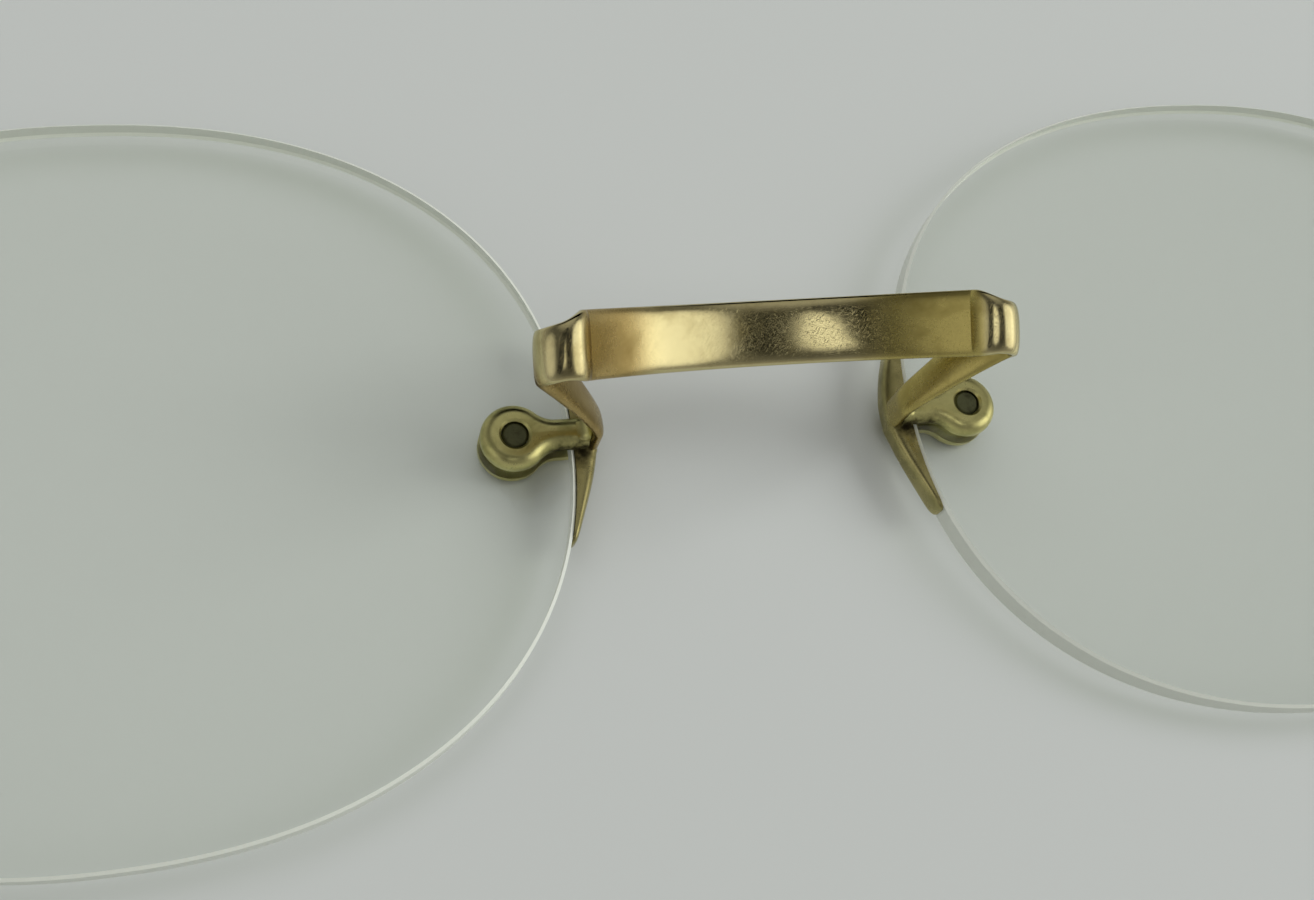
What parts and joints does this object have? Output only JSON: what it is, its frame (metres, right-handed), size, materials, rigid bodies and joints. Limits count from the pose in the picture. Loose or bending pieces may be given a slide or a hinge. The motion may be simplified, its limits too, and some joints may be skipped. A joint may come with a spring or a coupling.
{
  "type": "pince nez",
  "caption": "Rimless eyepiece whose drilled oval lenses are screwed to strap mounts and joined by a wide gold saddle bridge that curls into a loop at each end.",
  "frame": {"origin": "On the plane of symmetry, at the middle of the lenses' height, in the plane of the front faces of the two front straps that it rests on.", "axes": "X runs across the face with the wearer's right at +X, Y runs up the face, and Z points from the front to the wearer."},
  "size_m": [0.0896, 0.031, 0.01],
  "materials": {
    "lens_glass": "clear and nearly flat, with ground edges that look greenish yellow",
    "gold_strip": "worn satin gold on the crest, highly polished round the loops",
    "gold_shoe": "rounded and smooth, darkened where it meets the straps",
    "gold_strap": "satin gold with a greenish patina round the screw",
    "screw_steel": "dull grey screw end, dark in its hole"
  },
  "bodies": {
    "bridge_and_lenses": {"left_lens": "lens_glass", "right_lens": "lens_glass", "saddle_bridge": "gold_strip", "left_shoe": "gold_shoe", "right_shoe": "gold_shoe", "left_rear_strap": "gold_strap", "right_rear_strap": "gold_strap", "left_front_strap": "gold_strap", "right_front_strap": "gold_strap"},
    "left_screw": {"left_lens_screw": "screw_steel"},
    "right_screw": {"right_lens_screw": "screw_steel"}
  },
  "joints": [
    {"name": "left_screw_turn", "type": "hinge", "parent": "bridge_and_lenses", "child": "left_screw", "pos_m": [-0.01018, -0.00018, 0.0015], "axis": [0, 0, 1], "continuous": true},
    {"name": "right_screw_turn", "type": "hinge", "parent": "bridge_and_lenses", "child": "right_screw", "pos_m": [0.01018, -0.00018, 0.0015], "axis": [0, 0, 1], "continuous": true}
  ]
}
